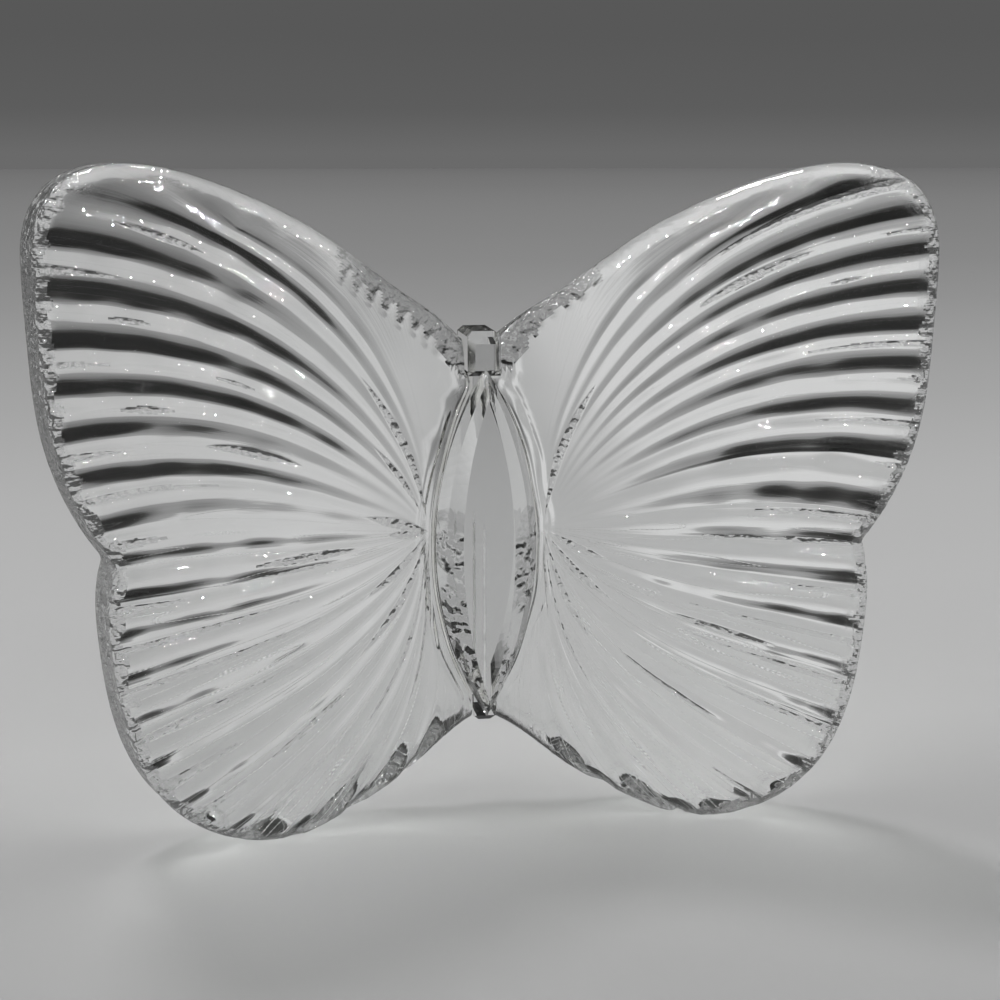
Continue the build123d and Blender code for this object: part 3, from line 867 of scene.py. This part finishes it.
# tones of the painted pool of light and of the painted shade
PAINTED_POOL_TONE, PAINTED_SHADE_TONE = 214, 39
PAINTED_POOL_MIDDLE = 0.05  # the two painted pools of light lie to both sides of this x
SOFT_LIGHT, SUN_LIGHT, BEAD_LIGHT = 0.62, 1.4, 0.21


def floor_paper():
    """Pale paper, whose tone goes by place on the floor, with a painted falloff of light.

    For reflected and refracted rays alone it has a painted pool of light behind each wing, and
    painted shade to both sides, a little to the left of the middle, and in front.
    """
    mat, tree = material("floor_paper")
    x, y, _ = parts(tree, node(tree, "NewGeometry").outputs["Position"])
    rays = node(tree, "LightPath").outputs
    through = calc(tree, "MAXIMUM", rays["Is Glossy Ray"], rays["Is Transmission Ray"])
    # the tones by distance, a painted falloff of light
    curve = calc(tree, "POWER", remap(tree, y, FLOOR_FROM, FLOOR_TO), FLOOR_BEND)
    shade = ramp(tree, curve, [
        (((at - FLOOR_FROM) / (FLOOR_TO - FLOOR_FROM)) ** FLOOR_BEND, grey(tone))
        for at, tone in FLOOR
    ])
    # a painted pool of light behind each wing, for reflected and refracted rays alone
    apart = calc(tree, "ABSOLUTE", calc(tree, "SUBTRACT", x, PAINTED_POOL_MIDDLE))
    folded = node(tree, "CombineXYZ", apart, y).outputs[0]
    pool = node(tree, "Mapping", vector_type="TEXTURE", Vector=folded,
                Location=(0.10, 0.27, 0.0), Scale=(1.0, 3.0, 1.0)).outputs[0]
    middle = node(tree, "VectorMath", pool, operation="LENGTH").outputs["Value"]
    near = remap(tree, middle, 0.085, 0.035, kind="SMOOTHSTEP")
    with_painted_pool = blended(tree, calc(tree, "MULTIPLY", near, through), shade, grey(PAINTED_POOL_TONE))
    # painted shade to both sides, to the left and in front, for reflected and refracted rays alone
    far = calc(tree, "ADD", calc(tree, "MAXIMUM", y, 0.0), 0.30)
    ratio = calc(tree, "DIVIDE", calc(tree, "ABSOLUTE", x), far)
    beside = remap(tree, ratio, 0.40, 0.85, 0.0, 0.85)
    leftward = remap(tree, x, 0.03, -0.08, 0.0, 0.28)
    before = remap(tree, y, -0.06, -0.2, 0.0, 0.9)
    painted_shade = calc(tree, "MAXIMUM", calc(tree, "MAXIMUM", leftward, beside), before)
    shown = blended(tree, calc(tree, "MULTIPLY", painted_shade, through), with_painted_pool, grey(PAINTED_SHADE_TONE))
    paper = node(tree, "BsdfPrincipled", Roughness=0.9,
                 **{"Base Color": shown, "Specular IOR Level": 0.1})
    node(tree, "OutputMaterial", paper.outputs[0])
    return mat


def studio():
    """Soft white light, with a wall that the camera sees and a sky that the glass sees."""
    made = bpy.data.worlds.new("studio")
    made.use_nodes = True
    tree = made.node_tree
    tree.nodes.clear()
    up = parts(tree, node(tree, "TexCoord").outputs["Generated"])["Z"]
    sky = ramp(tree, up, [
        (0.0, grey(104)), (0.015, grey(82)), (0.035, grey(60, (1, 1, 0.96))),
        (0.07, grey(40, (1, 1, 0.95))), (0.12, grey(24, (1, 1, 0.95))),
        (0.3, grey(12)), (0.7, grey(30)), (1.0, grey(150)),
    ])
    wall = ramp(tree, up, [
        (0.0, grey(106)), (0.022, grey(93)), (0.06, grey(88)), (1.0, grey(88)),
    ])
    rays = node(tree, "LightPath").outputs
    seen = calc(tree, "MAXIMUM", rays["Is Camera Ray"], rays["Is Glossy Ray"])
    seen = calc(tree, "MAXIMUM", seen, rays["Is Transmission Ray"])
    shown = blended(tree, rays["Is Camera Ray"], sky, wall)
    soft = node(tree, "Background", WHITE, SOFT_LIGHT)
    view = node(tree, "Background", shown, 1.0)
    node(tree, "OutputWorld", mixed(tree, seen, soft, view).outputs[0])
    return made


def facing(made, way):
    """Turn a lamp or camera to look along a direction."""
    made.rotation_mode = "QUATERNION"
    made.rotation_quaternion = Vector(way).to_track_quat("-Z", "Y")


def bead_lamp(name, place, target):
    """A small square lamp that shows in the glass and leaves the floor alone."""
    data = bpy.data.lights.new(name, "AREA")
    data.shape = "RECTANGLE"
    data.size, data.size_y = 0.010, 0.010
    data.energy = BEAD_LIGHT
    made = add(name, data)
    made.location = place
    made.visible_diffuse = False
    facing(made, Vector(target) - Vector(place))


floor_mesh = bpy.data.meshes.new("floor")
floor_mesh.from_pydata([(-8, -4, 0), (8, -4, 0), (8, 12, 0), (-8, 12, 0)], [], [(0, 1, 2, 3)])
floor_mesh.materials.append(floor_paper())
floor = add("floor", floor_mesh)
bpy.context.scene.world = studio()

sun = bpy.data.lights.new("key", "SUN")
sun.energy, sun.angle = SUN_LIGHT, math.radians(12)
facing(add("key", sun), (0.22, -0.55, -1.0))
# rows of small lamps, which the polished lobes mirror as beaded lines: the turns from the
# front at which a row starts and stops, and its rise over the horizon, in degrees
ROWS = ((-52, -6, 30), (24, 70, 30), (142, 206, 54))
ROW_BEADS, ROW_HEIGHT = 14, 0.06
for row, (start, stop, rise_angle) in enumerate(ROWS):
    up = math.radians(rise_angle)
    for k in range(ROW_BEADS):
        turn = math.radians(start + (stop - start) * k / (ROW_BEADS - 1))
        x, y = math.cos(up) * math.sin(turn), -math.cos(up) * math.cos(turn)
        place = (x, y, math.sin(up) + ROW_HEIGHT)
        bead_lamp(f"bead_{row}_{k}", place, (0, 0, ROW_HEIGHT))

# ---------------------------------------------------------------- camera
FRAME_PX, FOCAL_PX, SENSOR = 1000, 1864.4, 36.0  # the focal length fits the photograph
camera = add("camera", bpy.data.cameras.new("camera"))
bpy.context.scene.camera = camera
eye = Vector((-41.20, -278.69 + FOLD_Y, 99.96)) * MM
aim = Vector((3.33, FOLD_Y, 47.42)) * MM
camera.location = eye
facing(camera, aim - eye)
camera.data.sensor_width = SENSOR
camera.data.lens = SENSOR * FOCAL_PX / FRAME_PX
camera.data.clip_start, camera.data.clip_end = 0.01, 50

bpy.context.scene.view_settings.view_transform = "Standard"
